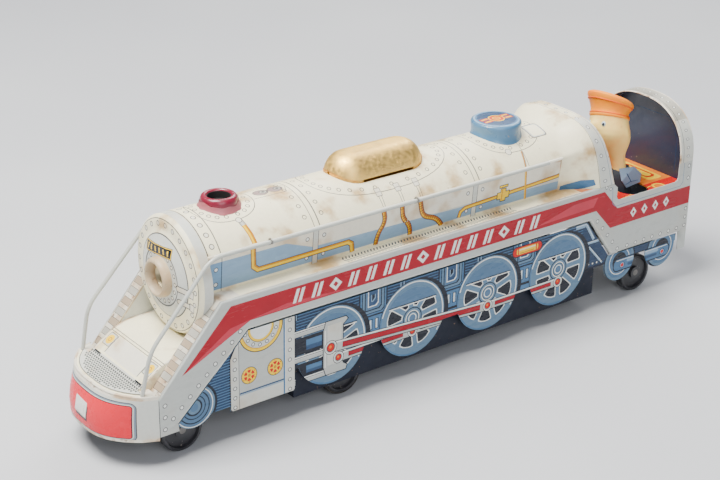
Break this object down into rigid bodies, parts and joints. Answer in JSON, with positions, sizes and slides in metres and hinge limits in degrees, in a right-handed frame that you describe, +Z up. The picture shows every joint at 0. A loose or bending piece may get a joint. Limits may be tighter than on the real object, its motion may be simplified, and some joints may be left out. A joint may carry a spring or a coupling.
{
  "type": "tin clockwork train locomotive",
  "caption": "Streamlined printed-tin toy locomotive with a spring motor, key winding, swaying driver and open cab.",
  "frame": {"origin": "on the plane the wheels stand on, midway along the body and on its middle plane", "axes": "+X towards the pilot, +Y to the locomotive's left, +Z up"},
  "size_m": [0.4104, 0.086, 0.1293],
  "materials": {
    "tin_grey": "lithographed tinplate, light grey with coloured print",
    "tin_cream": "lithographed tinplate, aged cream",
    "tin_red": "lithographed tinplate, crimson",
    "tin_maroon": "gloss maroon enamel",
    "tin_gold": "worn gold lacquer",
    "tin_blue": "steel blue enamel",
    "tin_navy": "dark navy enamel",
    "wheel_black": "black enamel, worn on the tread",
    "bare_steel": "dull zinc-plated steel",
    "spring_steel": "blued spring steel",
    "brass": "stamped brass",
    "rubber": "aged rubber",
    "vinyl_skin": "soft vinyl",
    "vinyl_orange": "sprayed vinyl",
    "jacket": "folded printed tinplate"
  },
  "bodies": {
    "body": {"side_left": "tin_grey", "side_right": "tin_grey", "boiler_shell": "tin_cream", "smokebox_front": "tin_cream", "headlamp_ring": "tin_cream", "headlamp_dish": "tin_cream", "chimney": "tin_maroon", "sand_dome": "tin_gold", "steam_dome": "tin_blue", "pilot_apron": "tin_red", "pilot_deck": "tin_cream", "handrail_left": "tin_cream", "handrail_right": "tin_cream", "handrail_eyelets": "bare_steel", "cab_front": "tin_cream", "cab_arch": "tin_cream", "cab_rear_wall": "tin_navy", "cab_floor": "tin_red", "base_pan": "tin_navy", "base_screws": "bare_steel", "front_bracket": "bare_steel", "rear_bracket": "bare_steel", "motor_plate_left": "bare_steel", "motor_plate_right": "bare_steel", "motor_pillars": "bare_steel", "mainspring": "spring_steel", "driver_bracket": "bare_steel", "driver_pin": "bare_steel"},
    "front_wheelset": {"front_axle": "bare_steel", "front_wheel_left": "wheel_black", "front_wheel_right": "wheel_black"},
    "rear_wheelset": {"rear_axle": "bare_steel", "rear_wheel_left": "wheel_black", "rear_wheel_right": "wheel_black"},
    "drive_wheelset": {"drive_axle": "bare_steel", "drive_wheel_left": "wheel_black", "drive_wheel_right": "wheel_black", "drive_tyre_left": "rubber", "drive_tyre_right": "rubber", "drive_pinion": "brass"},
    "great": {"great_wheel": "brass", "click_spring": "spring_steel"},
    "click": {"click": "brass"},
    "winding": {"winding_arbor": "bare_steel", "winding_key": "bare_steel", "ratchet_wheel": "bare_steel"},
    "second": {"second_arbor": "bare_steel", "second_pinion": "brass", "second_wheel": "brass"},
    "governor": {"governor_arbor": "bare_steel", "governor_pinion": "brass", "governor_fly": "bare_steel"},
    "driver": {"driver_arm": "bare_steel", "driver_jacket": "jacket", "driver_head": "vinyl_skin", "driver_cap": "vinyl_orange"},
    "stop_lever": {"stop_lever": "bare_steel"}
  },
  "joints": [
    {"name": "drive_spin", "type": "hinge", "parent": "body", "child": "drive_wheelset", "pos_m": [0.062, 0, 0.0125], "axis": [0, 1, 0], "continuous": true},
    {"name": "front_spin", "type": "hinge", "parent": "body", "child": "front_wheelset", "pos_m": [0.165, 0, 0.012], "axis": [0, 1, 0], "continuous": true},
    {"name": "rear_spin", "type": "hinge", "parent": "body", "child": "rear_wheelset", "pos_m": [-0.167, 0, 0.012], "axis": [0, 1, 0], "continuous": true},
    {"name": "great_spin", "type": "hinge", "parent": "body", "child": "great", "pos_m": [0.016, 0, 0.04], "axis": [0, 1, 0], "continuous": true},
    {"name": "second_spin", "type": "hinge", "parent": "body", "child": "second", "pos_m": [0.04495, 0, 0.03213], "axis": [0, 1, 0], "continuous": true},
    {"name": "governor_spin", "type": "hinge", "parent": "body", "child": "governor", "pos_m": [0.04946, 0, 0.05773], "axis": [0, 1, 0], "continuous": true},
    {"name": "winding_spin", "type": "hinge", "parent": "body", "child": "winding", "pos_m": [0.016, 0, 0.04], "axis": [0, 1, 0], "continuous": true},
    {"name": "click_lift", "type": "hinge", "parent": "great", "child": "click", "pos_m": [0.003, 0, 0.046], "axis": [0, 1, 0], "range_deg": [-8, 0]},
    {"name": "driver_swing", "type": "hinge", "parent": "body", "child": "driver", "pos_m": [-0.1, 0, 0.057], "axis": [0, 0, 1], "range_deg": [0, 17.3]},
    {"name": "stop_swing", "type": "hinge", "parent": "body", "child": "stop_lever", "pos_m": [-0.11, 0, 0.007], "axis": [0, 0, 1], "range_deg": [-30, 30]}
  ],
  "couplings": [
    {"joint": "second_spin", "follows": "drive_spin", "ratio": -0.3},
    {"joint": "great_spin", "follows": "drive_spin", "ratio": 0.075},
    {"joint": "governor_spin", "follows": "drive_spin", "ratio": 1}
  ]
}
